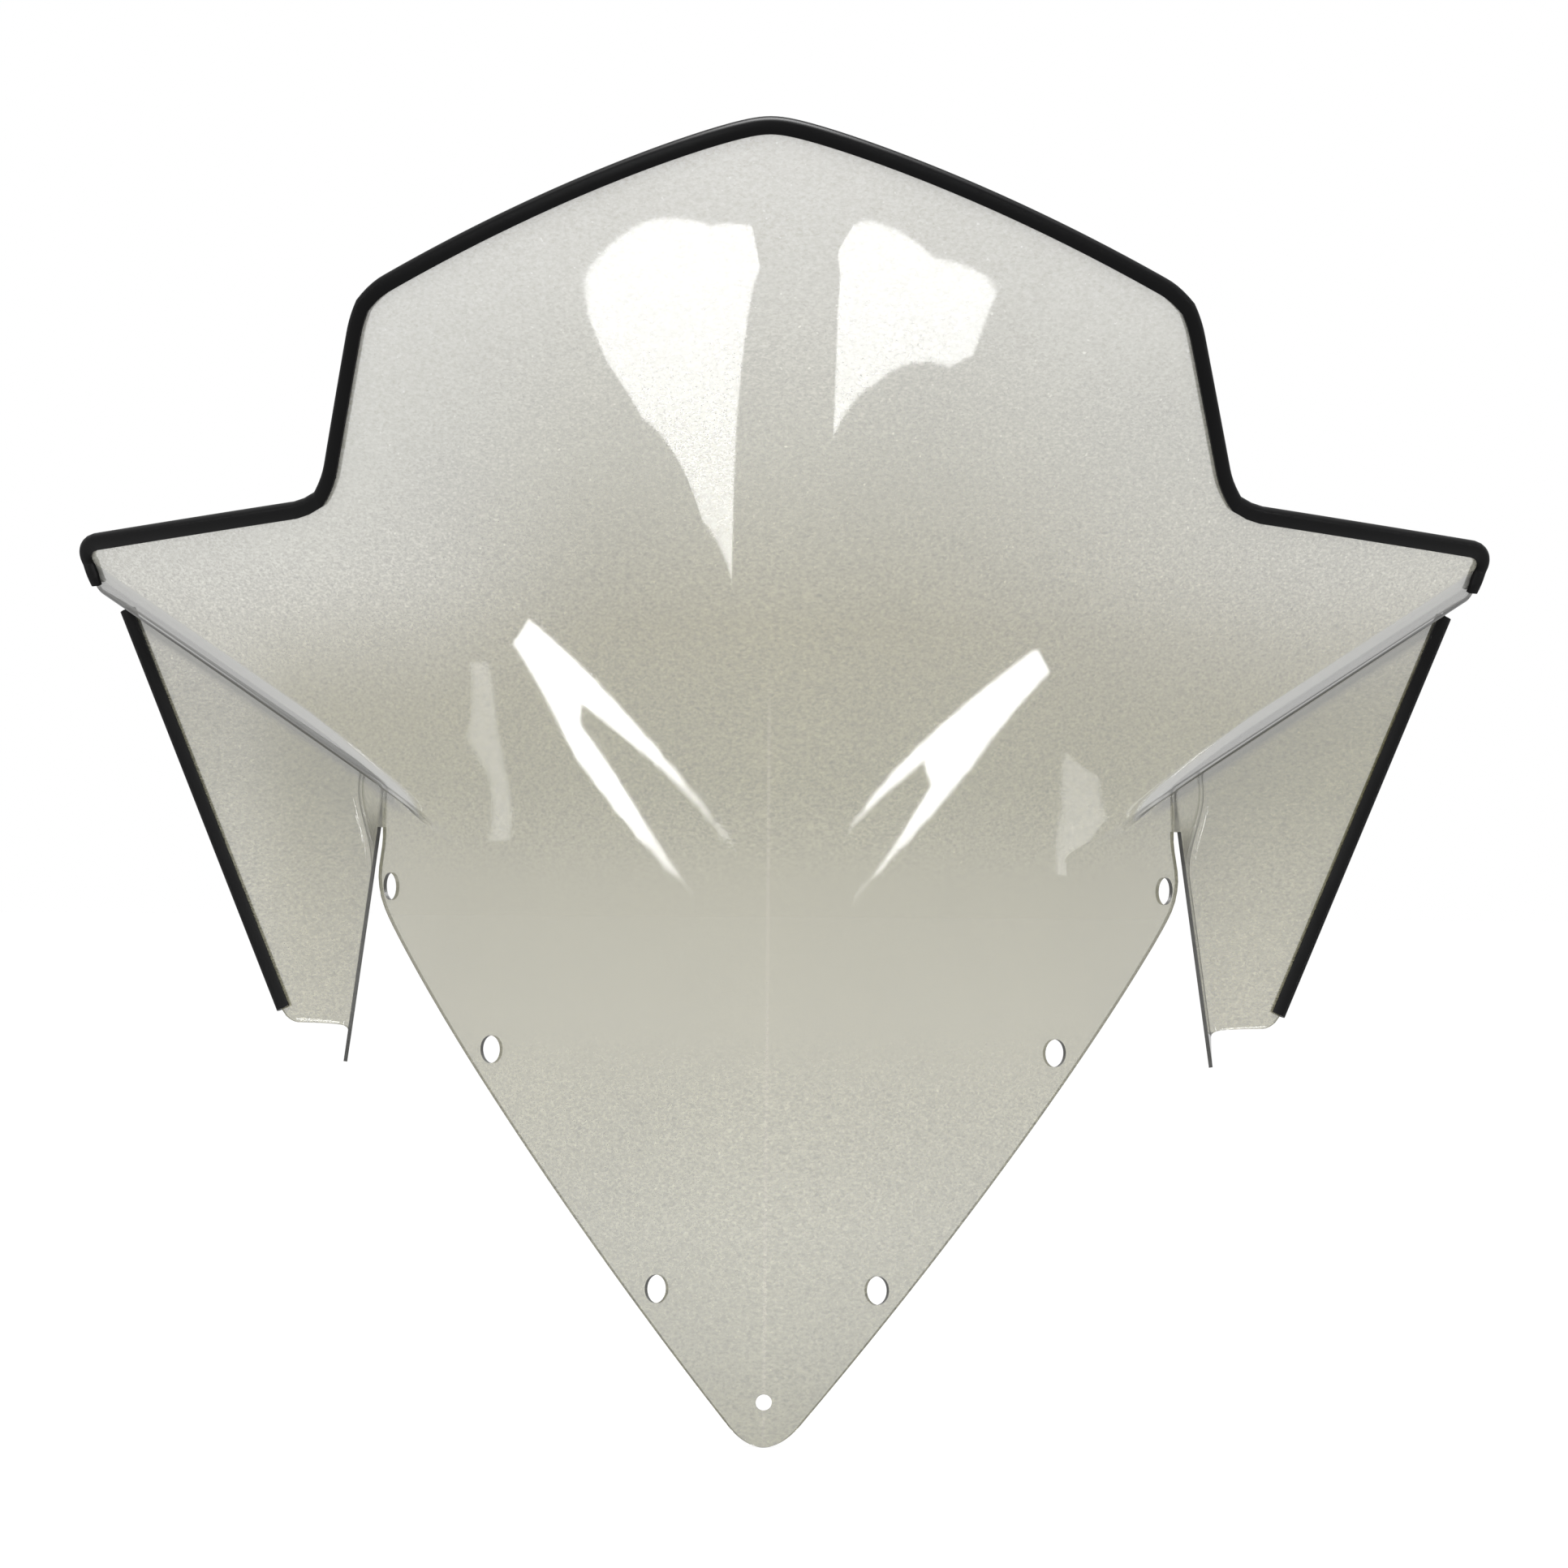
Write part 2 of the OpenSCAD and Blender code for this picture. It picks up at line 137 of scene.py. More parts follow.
def border_x(z):
    """Half width of the nose panel: a nearly straight border that rounds into the slot."""
    a = BORDER_START + BORDER_SLOPE * z - BORDER_BEND * z * z
    relief = RELIEF * ease(FOLD_Z - RELIEF_DEEP, FOLD_Z - RELIEF_SHALLOW, z)
    return (a + SLOT_X - hypot(a - SLOT_X, SLOT_ROUND)) / 2 - relief


FOLD_CENTRE_Z = FOLD_Z - FOLD_RISE * FOLD_X / 2
CHEEK_EDGE_X = border_x(FOLD_Z)


def fold_line(x):
    """Height of the fold over the half width."""
    if x > FOLD_X:
        return FOLD_Z + FOLD_RISE * (x - FOLD_X)
    return FOLD_CENTRE_Z + FOLD_RISE * x * x / (2 * FOLD_X)


def column_x(j):
    """Half width of a column where it meets the fold."""
    if j <= COL_FOLD:
        return FOLD_X * j / COL_FOLD
    return mix(FOLD_X, CHEEK_EDGE_X, (j - COL_FOLD) / (COL_CHEEK - COL_FOLD))


def flange(z, back):
    """Plan position on the flange, back running from 0 at its front edge to 1 at its bend."""
    x = FLANGE_X - FLANGE_LEAN * (z - FLANGE_Z)
    y = FLANGE_Y + FLANGE_RAKE * (FOLD_Z - z)
    splay = FOLD_SPLAY * ease(FOLD_Z - SPLAY_REACH, FOLD_Z + SPLAY_REACH, z)
    return (x + back * (FOOT_SPLAY + splay),
            y + back * (FLANGE_DEPTH + splay * tan(PANEL_SWEEP)))


def side_xy(j, z):
    """Plan position of a column of the flange, its bend or the side panel."""
    if j <= COL_BEND:
        return flange(z, (j - COL_FLANGE) / (COL_BEND - COL_FLANGE))
    bx, by = flange(z, 1)
    if j <= COL_PANEL:
        a = pi - (pi / 2 - PANEL_SWEEP) * (j - COL_BEND) / (COL_PANEL - COL_BEND)
        return bx + BEND_R * (1 + cos(a)), by + BEND_R * sin(a)
    x, y = bx + BEND_R * (1 - sin(PANEL_SWEEP)), by + BEND_R * cos(PANEL_SWEEP)
    edge = PANEL_X + PANEL_LEAN * (z - PANEL_Z)
    dx = (j - COL_PANEL) / (COL_END - COL_PANEL) * (edge - x)
    return x + dx, y + dx * tan(PANEL_SWEEP)


SEEK_FROM_Z, SEEK_ROUNDS = 300, 6


def side_head(j):
    """Upper end of a side column: the column leans, so its height is found by repeating."""
    z = SEEK_FROM_Z
    for _ in range(SEEK_ROUNDS):
        z = fold_line(side_xy(j, z)[0]) - FOLD_TUCK
    return z


SLOT_PART = (FOLD_Z - FLANGE_Z) / (side_head(COL_FLANGE) - FLANGE_Z)


def side_foot(j):
    """Lower end of a side column: the flange hangs lower, and the outer corner is round."""
    foot = PANEL_Z - (PANEL_Z - FLANGE_Z) * exp(-(j - COL_FLANGE) / FOOT_FILLET)
    inside = max(0, PANEL_CORNER - (side_xy(COL_END, foot)[0] - side_xy(j, foot)[0]))
    return foot + PANEL_CORNER - sqrt(max(0, PANEL_CORNER ** 2 - inside ** 2))


def low_point(i, j):
    """A point on the nose panel, cheek, flange or side panel, up to the fold."""
    if j <= COL_CHEEK and i <= ROW_SLOT:
        v = i / ROW_SLOT
        zb, zc = mix(BORDER_Z0, FOLD_Z, v), mix(-TIP_DROP, SLOT_CENTRE_Z, v)
        s = column_x(j) / CHEEK_EDGE_X
        x, z = s * border_x(zb), mix(zc, zb, s * s)
        return Vector((x, cheek_y(x, z), z))
    t = (i - ROW_SLOT) / (ROW_FOLD - ROW_SLOT)
    if j <= COL_CHEEK:
        x = column_x(j)
        tuck = FOLD_TUCK * ease(FOLD_X - TUCK_INSIDE, FOLD_X + TUCK_OUTSIDE, x)
        top = fold_line(x) - tuck
        z = mix(low_point(ROW_SLOT, j).z, top, t)
        return Vector((x, cheek_y(x, z), z))
    if j < COL_FLANGE:
        return low_point(i, COL_CHEEK).lerp(low_point(i, COL_FLANGE), j - COL_CHEEK)
    if i <= ROW_SLOT:
        t = SLOT_PART * (i - ROW_SIDE) / (ROW_SLOT - ROW_SIDE)
    else:
        t = mix(SLOT_PART, 1, t)
    z = mix(side_foot(j), side_head(j), t)
    return Vector((*side_xy(j, z), z))


FAR_X = low_point(ROW_FOLD, COL_END).x


def outboard(x):
    """0 inside the wing's root, rising to 1 at the side panel's outer edge."""
    return (max(0, x - WING_ROOT_X) / (FAR_X - WING_ROOT_X)) ** 2


def roll_top(j):
    """A point on the wing just above the rolled fold."""
    p = low_point(ROW_FOLD, j)
    x = p.x + (WING_FOOT_X - FAR_X) * outboard(p.x)
    if x < FOLD_X:
        up = mix(ROLL_CENTRE_RISE, ROLL_ROOT_RISE, ease(0, FOLD_X, x))
    else:
        up = mix(ROLL_ROOT_RISE, ROLL_R, ease(FOLD_X + ROLL_GROW, WING_ROOT_X + ROLL_GROW, x))
    z = fold_line(x) + up
    return Vector((x, formed_y(x, z), z))


def curve(a, b, c, t):
    """A bend from a to c that is drawn towards b."""
    return a.lerp(b, t).lerp(b.lerp(c, t), t)


def roll_point(i, j):
    """A point on the rolled fold under the wing and on the wall behind it."""
    t = 1 - (i - ROW_FOLD) / (ROW_ROLL - ROW_FOLD)
    top, low = roll_top(j), low_point(ROW_FOLD, j)
    step = low.y - formed_y(low.x, low.z)
    edge_x = top.x - TIP_LEAN * ROLL_R * outboard(low.x)
    edge = Vector((edge_x, top.y - EDGE_BACK, fold_line(edge_x)))
    wall = Vector((low.x, low.y, fold_line(low.x)))
    run = wall - edge + Vector((0, HAIR, 0))
    turn = edge + min(ROLL_R, step / 3) * run.normalized()
    back = wall - WALL_BEND / run.length * (wall - edge)
    if t < ROLL_PART:
        shaped = curve(top, edge, turn, t / ROLL_PART)
    elif t < WALL_PART:
        shaped = turn.lerp(back, (t - ROLL_PART) / (WALL_PART - ROLL_PART))
    else:
        shaped = curve(back, wall, low, (t - WALL_PART) / (1 - WALL_PART))
    x, z = mix(top.x, low.x, t), mix(top.z, low.z, t)
    flat = Vector((x, mix(formed_y(x, z), cheek_y(x, z), ease(0, 1, t)), z))
    return flat.lerp(shaped, ease(SOFT_STEP, FULL_STEP, step))


# Where the wing's straight upper edge ends beside the screen, and the row's centre height.
EDGE_X, EDGE_Z = WING_CORNER_X + WING_ROUND, WING_CORNER_Z - WING_ROUND_Z
WING_CENTRE_Z = WING_CORNER_Z + WING_CENTRE_RISE


def wing_point(i, j):
    """A point between the roll and the top of the wing; the columns crowd at the tip."""
    a, t = roll_top(j), (i - ROW_ROLL) / (ROW_WING - ROW_ROLL)
    if j <= COL_PANEL:
        s = j / COL_PANEL
        x, z = s * WING_CORNER_X, mix(WING_CENTRE_Z, WING_CORNER_Z, s * s)
    else:
        out = 1 - (1 - (j - COL_PANEL) / (COL_END - COL_PANEL)) ** TIP_CROWD
        x = mix(WING_CORNER_X, WING_TIP_X, out)
        z = mix(EDGE_Z, WING_TIP_Z, (x - EDGE_X) / (WING_TIP_X - EDGE_X))
        z += WING_ROUND_Z * (max(0, EDGE_X - x) / WING_ROUND) ** 2
    x, z = round_tip(mix(a.x, x, t), mix(a.z, z, t))
    return Vector((x, formed_y(x, z), z))


TIP_MARGIN = 1  # how far past the corner a place may lie and still belong to it


def round_tip(x, z):
    """Draws the pointed corner of the wing tip in to an even round."""
    tip = Vector((WING_TIP_X, WING_TIP_Z))
    foot = Vector((WING_FOOT_X, fold_line(WING_FOOT_X) + ROLL_R))
    root = Vector((EDGE_X, EDGE_Z))
    down, along = (foot - tip).normalized(), (root - tip).normalized()
    gap = Vector((x, z)) - tip
    turn = along.cross(down)
    u, v = gap.cross(down) / turn, along.cross(gap) / turn
    a, b = TIP_ROUND - u, TIP_ROUND - v
    if min(a, b) <= 0 or min(u, v) < -TIP_MARGIN:
        return x, z
    pull = max(a, b) / hypot(a, b)
    moved = tip + (TIP_ROUND - a * pull) * along + (TIP_ROUND - b * pull) * down
    return moved.x, moved.y


def peak_drop(x):
    """How far the arched upper edge lies below the peak."""
    return (PEAK_SLOPE * (hypot(x, PEAK_ROUND) - PEAK_ROUND) + PEAK_ARCH * x * x
            + CORNER_DROP * (max(0, x - CORNER_X + CORNER_ROUND) / CORNER_ROUND) ** 2)


def upper_point(i, j):
    """A point on the upper screen, whose sides flare into the wings and tuck in above."""
    v, s = (i - ROW_WING) / (ROW_PEAK - ROW_WING), j / COL_PANEL
    edge_x = (mix(WING_CORNER_X - FOOT_FLARE, CORNER_X + HEAD_TUCK, v)
              + FOOT_FLARE * max(0, 1 - v / FOOT_PART) ** 2
              - HEAD_TUCK * (max(0, v - (1 - HEAD_PART)) / HEAD_PART) ** 2)
    edge_z = mix(WING_CORNER_Z, CORNER_Z, v)
    drop = peak_drop(s * CORNER_X) / peak_drop(CORNER_X)
    x = s * edge_x
    z = mix(mix(WING_CENTRE_Z, PEAK_Z, v), edge_z, mix(s * s, drop, v))
    return Vector((x, formed_y(x, z), z))


def sheet_point(i, j):
    """Front face at row i and column j, in metres; negative columns are the left half."""
    c = abs(j)
    if i <= ROW_FOLD:
        p = low_point(i, c)
    elif i < ROW_ROLL:
        p = roll_point(i, c)
    else:
        p = wing_point(i, c) if i <= ROW_WING else upper_point(i, c)
    return Vector((-p.x if j < 0 else p.x, p.y, p.z)) * MM


def is_sheet(i, j):
    """False in the two slots and in the air above the wings."""
    c = abs(j)
    if i < ROW_SLOT:
        return c < COL_CHEEK or (c > COL_FLANGE and i > ROW_SIDE)
    return i < ROW_WING or c < COL_PANEL


sheet = bmesh.new()
bmesh.ops.create_grid(sheet, x_segments=2 * COL_END * FINE, y_segments=ROW_PEAK * FINE,
                      size=0.5)
places = {v: (round((v.co.y + 0.5) * ROW_PEAK * FINE) / FINE,
              round((v.co.x * 2) * COL_END * FINE) / FINE) for v in sheet.verts}
waste = [f for f in sheet.faces
         if not is_sheet(*(sum(places[v][n] for v in f.verts) / 4 for n in (0, 1)))]
bmesh.ops.delete(sheet, geom=waste, context="FACES")
for v in sheet.verts:
    v.co = sheet_point(*places[v])

# Even out the crowded corners of the grid on both sides of the nose tip.
CROWDED_Z, KEEL_STRIP, SMOOTH_ROUNDS = 30 * MM, 8 * MM, 12
crowded = [v for v in sheet.verts
           if v.co.z < CROWDED_Z and KEEL_STRIP < abs(v.co.x) and not v.is_boundary]
for _ in range(SMOOTH_ROUNDS):
    bmesh.ops.smooth_vert(sheet, verts=crowded, factor=0.5, use_axis_x=True, use_axis_z=True)
for v in crowded:
    v.co.y = cheek_y(abs(v.co.x) / MM, v.co.z / MM) * MM

# Around each hole the sheet is divided finely, so that its drilled rim stays smooth.
RIM_MARGINS, HOLE_FACETS, DRILL_LENGTH, EDGE_BREAK = (4, 2), 64, 16, 0.35
drills = bmesh.new()
grommet_holes = [(side * x, z, GROMMET_D) for side in (-1, 1) for x, z in GROMMETS]
for x, z, d in [(0, 0, NOSE_D)] + grommet_holes:
    half = abs(x)
    slope_x, slope_z = slopes(cheek_y, half, z)
    out = Vector((-slope_x if x < 0 else slope_x, -1, slope_z)).normalized()
    centre, radius = Vector((x, cheek_y(half, z), z)) * MM, 0.5 * d * MM
    for margin in RIM_MARGINS:
        close = [e for e in sheet.edges
                 if min((v.co - centre).length for v in e.verts) < radius + margin * MM]
        made = bmesh.ops.subdivide_edges(sheet, edges=close, cuts=1, use_grid_fill=True)
        for v in {v for e in made["geom_split"] + made["geom_inner"]
                  if isinstance(e, bmesh.types.BMEdge) for v in e.verts}:
            if not v.is_boundary:
                v.co.y = cheek_y(abs(v.co.x) / MM, v.co.z / MM) * MM
    turn = Matrix.Translation(centre) @ out.to_track_quat("Z", "Y").to_matrix().to_4x4()
    bmesh.ops.create_cone(drills, cap_ends=True, segments=HOLE_FACETS, radius1=radius,
                          radius2=radius, depth=DRILL_LENGTH * MM, matrix=turn)

bmesh.ops.recalc_face_normals(sheet, faces=sheet.faces)
if sum(f.normal.y for f in sheet.faces) > 0:
    bmesh.ops.reverse_faces(sheet, faces=sheet.faces)
front = set(sheet.verts)
bmesh.ops.solidify(sheet, geom=sheet.faces[:], thickness=SHEET_T * MM)
rim = {f for f in sheet.faces if 0 < sum(v in front for v in f.verts) < len(f.verts)}
for f in sheet.faces:
    f.smooth = True
    f.material_index = int(f in rim)
long_edges = [e for e in sheet.edges if sum(f in rim for f in e.link_faces) == 1]
bmesh.ops.bevel(sheet, geom=long_edges, offset=EDGE_BREAK * MM, segments=2, profile=0.5,
                affect="EDGES", material=1, clamp_overlap=True)
sheet_mesh = bpy.data.meshes.new("smoked_screen")
sheet.to_mesh(sheet_mesh)
screen = bpy.data.objects.new("smoked_screen", sheet_mesh)
bpy.context.scene.collection.objects.link(screen)
for f in drills.faces:
    f.material_index, f.smooth = 1, len(f.verts) == 4
drill_mesh = bpy.data.meshes.new("drills")
drills.to_mesh(drill_mesh)
drills.free()
drill_bits = bpy.data.objects.new("drills", drill_mesh)
bpy.context.scene.collection.objects.link(drill_bits)
drilling = screen.modifiers.new("drilling", "BOOLEAN")
drilling.operation, drilling.solver, drilling.object = "DIFFERENCE", "EXACT", drill_bits
drilled = bpy.data.meshes.new_from_object(
    screen.evaluated_get(bpy.context.evaluated_depsgraph_get()))
screen.modifiers.clear()
bpy.data.objects.remove(drill_bits)
sheet.clear()
sheet.from_mesh(drilled)
for e in sheet.edges:
    if e.calc_face_angle(0) > SHARP:
        e.smooth = False

# How far round the rolled fold each point lies, 0 on the wing and 1 where it turns under,
# and how far it is tucked in behind the fold.
BAND_NARROW, BAND_WIDE, BAND_GROWS = 0.7, 1.35, (190, 250)
BAND_STARTS, BAND_BELOW = (5, 40), 2
TUCK_STARTS, TUCK_RISES, TUCK_DEEP = (15, 30), (-9, -4), 5
rolled, tucked = (sheet.verts.layers.float.new(name) for name in ("rolled", "tucked"))
for v in sheet.verts:
    x, y, z = abs(v.co.x) / MM, v.co.y / MM, v.co.z / MM
    up, behind = z - fold_line(x), y - formed_y(x, z)
    if up > -BAND_BELOW and behind < ROLL_R:
        reach = ROLL_R * mix(BAND_NARROW, BAND_WIDE, ease(*BAND_GROWS, x))
        v[rolled] = max(0, min(1, 1 - up / reach)) * ease(*BAND_STARTS, x - FOLD_X)
    if up < TUCK_DEEP and behind > TUCK_DEEP:
        v[tucked] = ease(*TUCK_RISES, up) * ease(*TUCK_STARTS, x - FOLD_X)
sheet.to_mesh(sheet_mesh)
sheet.free()


class Socket:
    """An output of a material's nodes. Sums and products of sockets add Math nodes."""

    def __init__(self, tree, output=None):
        self.tree, self.output = tree, output

    def add(self, kind, settings=None, values=None, out=0):
        made = self.tree.nodes.new(kind)
        for name, value in (settings or {}).items():
            if name != "stops":
                setattr(made, name, value)
                continue
            # The first two stops given are the ramp's own ends.
            ramp = made.color_ramp
            for n, (place, colour) in enumerate(value):
                stop = ramp.elements[n] if n < 2 else ramp.elements.new(place)
                stop.position, stop.color = place, (*colour, 1)
        for key, value in (values or {}).items():
            if isinstance(value, Socket):
                self.tree.links.new(value.output, made.inputs[key])
            else:
                made.inputs[key].default_value = value
        return Socket(self.tree, made.outputs[out] if made.outputs else None)

    def math(self, operation, a, b=0.0):
        return self.add("ShaderNodeMath", {"operation": operation}, {0: a, 1: b})

    def __add__(self, other):
        return self.math("ADD", self, other)

    def __sub__(self, other):
        return self.math("SUBTRACT", self, other)

    def __rsub__(self, other):
        return self.math("SUBTRACT", other, self)

    def __mul__(self, other):
        return self.math("MULTIPLY", self, other)

    __radd__, __rmul__ = __add__, __mul__

    def ramp(self, low, high):
        """0 below low, 1 above high, and a smooth rise between."""
        return self.add("ShaderNodeMapRange", {"interpolation_type": "SMOOTHSTEP"},
                        {"Value": self, "From Min": low, "From Max": high})

    def blend(self, low, high):
        """The colour low where this is 0, and high where it is 1."""
        return self.add("ShaderNodeMix", {"data_type": "RGBA"}, {0: self, 6: low, 7: high}, 2)


def new_material(name):
    material = bpy.data.materials.new(name)
    material.use_nodes = True
    material.node_tree.nodes.clear()
    return material, Socket(material.node_tree)


# Each face of the sheet lets this share of what is behind it through.
CLEAR = 0.5
FACE_ALPHA = 1 - CLEAR
# A matt surface in this studio looks a little lighter than its own colour.
STUDIO_DIM = 0.93


def under(*seen):
    """The sheet's own colour that looks as given, in sRGB 0 to 255, with white behind
    both of its faces."""
    linear = [((c / 255 + 0.055) / 1.055) ** 2.4 for c in seen]
    return tuple(max(0.01, (c - CLEAR ** 2) / (1 - CLEAR ** 2) * STUDIO_DIM) for c in linear)


WING_GREY, PAINTED_LIGHT_WHITE = (0.62, 0.62, 0.58, 1), (0.72, 0.72, 0.7, 1)
KEEL_AMBER = (0.75, 0.66, 0.58, 1)
TUCKED_SHADE, GRAZED_DARK = (0.09, 0.09, 0.07, 1), (0.05, 0.05, 0.045, 1)
GRAIN_SCALE, PAINTED_GLINT_SCALE, CLOUD_SCALE = 620.0, 450.0, 9.0
GRAIN_STRETCH = (0.7, 0.7, 1.2)
BASE_ROUGHNESS, FOLD_ROUGHNESS = 0.03, 0.3

# Heights and half widths on the sheet are in metres here.
smoke, n = new_material("light_smoke_polycarbonate")
where = n.add("ShaderNodeTexCoord", out=3)
x_at, z_at = (n.add("ShaderNodeSeparateXYZ", None, {0: where}, out) for out in (0, 2))
half_width = n.math("ABSOLUTE", x_at)

# The smoke's own tint, painted darker across the middle of the sheet as painted shade, set by
# height from the nose tip to the peak.
height_part = n.add("ShaderNodeMapRange", None, {
    "Value": z_at, "From Min": -0.022, "From Max": 0.635})
tint_and_painted_light = n.add("ShaderNodeValToRGB", {"stops": (
    (0.04, under(181, 180, 167)), (1.00, under(224, 223, 219)), (0.16, under(195, 194, 182)),
    (0.32, under(196, 194, 180)), (0.42, under(190, 188, 173)), (0.50, under(180, 178, 162)),
    (0.62, under(181, 178, 162)), (0.76, under(200, 199, 189)), (0.88, under(215, 214, 208)))},
    {"Fac": height_part})

# Painted light: the wings and the upper screen's outer parts are painted paler, the left side more
# than the right, and a faint amber line is painted down the keel.
above_fold, left = z_at.ramp(0.34, 0.42), 0 - x_at
wing_rise = z_at.ramp(0.33, 0.43)
wing_painted_light = half_width.ramp(0.13, 0.3) * wing_rise
tint_and_painted_light = (wing_painted_light * 0.3).blend(tint_and_painted_light, WING_GREY)
edge_painted_light = half_width.ramp(0.05, 0.19) * wing_rise
left_painted_light = left.ramp(0.08, 0.2) * above_fold + left.ramp(0.25, 0.3) * (1 - above_fold)
tint_and_painted_light = (edge_painted_light * 0.16 + left_painted_light * 0.2).blend(tint_and_painted_light, PAINTED_LIGHT_WHITE)
keel_line = (1 - half_width.ramp(0.0004, 0.0012)) * (1 - z_at.ramp(0.33, 0.37))
tint_and_painted_light = (keel_line * 0.12).blend(tint_and_painted_light, KEEL_AMBER)

# The mould leaves a leather grain, but for a polished belt across the nose; small bright specks on
# the grain are painted glints.
leather = n.add("ShaderNodeTexNoise", None, {
    "Vector": n.add("ShaderNodeMapping", None, {"Vector": where, "Scale": GRAIN_STRETCH}),
    "Scale": GRAIN_SCALE, "Detail": 3.0, "Roughness": 0.6, "Distortion": 0.6})
painted_glint = n.add("ShaderNodeTexNoise", None, {
    "Vector": where, "Scale": PAINTED_GLINT_SCALE, "Detail": 1.0})
cloud = n.add("ShaderNodeTexNoise", None, {
    "Vector": where, "Scale": CLOUD_SCALE, "Detail": 2.0})
belt = z_at.ramp(0.14, 0.19) * (1 - z_at.ramp(0.25, 0.29))
polished = belt * (1 - half_width.ramp(0.19, 0.22))
grain = 1 - polished * 0.85
band = n.add("ShaderNodeAttribute", {"attribute_name": "rolled"}, out=2)
on_band = band.ramp(0.02, 0.12)
grained = grain * (1 - on_band)
depth = grained * (1.1 - z_at.ramp(0.4, 0.47) * 0.4)
tone = (leather - 0.5) * depth + (cloud - 0.5) * 0.1 + painted_glint.ramp(0.72, 0.8) * grained * 0.3 + 0.5
grey = n.add("ShaderNodeCombineColor", None, {0: tone, 1: tone, 2: tone})
tint_and_painted_light = n.add("ShaderNodeMix", {"data_type": "RGBA", "blend_type": "OVERLAY"},
             {0: 1.0, 6: tint_and_painted_light, 7: grey}, 2)

# The rolled fold is painted as a paler band, a painted reflection of the studio in its curve, with
# a dark lower edge, and gets painted shade where it tucks in behind.
painted_roll_band = n.add("ShaderNodeValToRGB", {"stops": (
    (0.00, under(160, 160, 158)), (1.00, (0.01, 0.01, 0.01)), (0.08, under(198, 198, 194)),
    (0.42, under(196, 196, 193)), (0.52, under(176, 176, 174)), (0.84, under(184, 184, 182)),
    (0.92, (0.02, 0.02, 0.02)))}, {"Fac": band})
tint_and_painted_light = on_band.blend(tint_and_painted_light, painted_roll_band)
behind_fold = n.add("ShaderNodeAttribute", {"attribute_name": "tucked"}, out=2)
tint_and_painted_light = (behind_fold * 0.8).blend(tint_and_painted_light, TUCKED_SHADE)

# Looked along, the sheet darkens and is less clear.
graze = n.add("ShaderNodeLayerWeight", None, {"Blend": 0.5}, 1).ramp(0.62, 0.93)
tint_and_painted_light = graze.blend(tint_and_painted_light, GRAZED_DARK)
denser = n.math("MAXIMUM", graze * 0.4, band.ramp(0.86, 0.93) * 0.45)
bump = n.add("ShaderNodeBump", None, {
    "Strength": 0.004, "Distance": 0.0004, "Height": leather * grain})
shader = n.add("ShaderNodeBsdfPrincipled", None, {
    "Base Color": tint_and_painted_light, "IOR": 1.58, "Alpha": denser + FACE_ALPHA, "Normal": bump,
    "Roughness": (cloud - 0.5) * 0.02 + (on_band + behind_fold) * FOLD_ROUGHNESS + BASE_ROUGHNESS})
n.add("ShaderNodeOutputMaterial", None, {"Surface": shader})

# The router leaves fine chatter on the cut edges, which look nearly black end on.
CHATTER_DARK, CHATTER_LIGHT = (0.008, 0.008, 0.007, 1), (0.05, 0.05, 0.045, 1)
cut_edge, n = new_material("routed_edge")
where = n.add("ShaderNodeTexCoord", out=3)
chatter = n.add("ShaderNodeTexNoise", None, {"Vector": where, "Scale": 900.0, "Detail": 2.0})
shader = n.add("ShaderNodeBsdfPrincipled", None, {
    "Base Color": chatter.blend(CHATTER_DARK, CHATTER_LIGHT),
    "Roughness": chatter * 0.3 + 0.3, "IOR": 1.58, "Alpha": 0.92})
n.add("ShaderNodeOutputMaterial", None, {"Surface": shader})
sheet_mesh.materials.append(smoke)
sheet_mesh.materials.append(cut_edge)
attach(screen, "root")
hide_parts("screen")

# ------------------------------------------------------------ the edge trims
# Push-on channels of black rubber with a rounded back. One long piece runs from
# wing tip to wing tip over the peak, and a short one covers each side panel's
# outer edge; they are cut square and held by the grip of their own lips.

# The channel in mm: how far its lips and its back reach from the sheet's edge, half its
# width and half its slot, and how far a side trim runs up past its panel.
LEG, SIDE_LEG, CROWN, HALF_W, HALF_SLOT, SIDE_REACH = 5.8, 5.0, 3.0, 2.9, 1.05, 4.0
CROWN_FOOT, CROWN_STEP, SLOT_END, LIP_LONG, LIP_DEEP = 0.2, 15, -0.05, 0.5, 0.4


def trim_section(leg):
    """The channel's outline: out from the sheet's edge, and across the sheet, in mm."""
    crown = [(CROWN_FOOT + (CROWN - CROWN_FOOT) * cos(a), HALF_W * sin(a))
             for a in (radians(90 - CROWN_STEP * k) for k in range(180 // CROWN_STEP + 1))]
    back_lip = [(LIP_LONG - leg, -HALF_W), (-leg, LIP_DEEP - HALF_W), (-leg, -HALF_SLOT)]
    slot = [(SLOT_END, -HALF_SLOT), (SLOT_END, HALF_SLOT)]
    front_lip = [(-leg, HALF_SLOT), (-leg, HALF_W - LIP_DEEP), (LIP_LONG - leg, HALF_W)]
    return crown + back_lip + slot + front_lip


def steps(a, b):
    """Places on the grid from a up to, but without, b."""
    count = round(abs(b - a) * FINE)
    return [a + (b - a) * k / count for k in range(count)]


NUDGE = 0.1  # part of a row or column


def skin(i, j):
    """Normal of the sheet's front at a place on its edge."""
    p = sheet_point(i, j)
    if i >= ROW_ROLL:
        x, z = abs(p.x) / MM, p.z / MM
        slope_x, slope_z = slopes(formed_y, x, z)
        return Vector((slope_x if j > 0 else -slope_x, -1, slope_z)).normalized()
    inward = NUDGE if j < 0 else -NUDGE
    beside, below = sheet_point(i, j + inward) - p, sheet_point(i - NUDGE, j) - p
    normal = beside.cross(below).normalized()
    return -normal if j < 0 else normal


EVEN_OUT = 3  # neighbours on each side whose directions are averaged


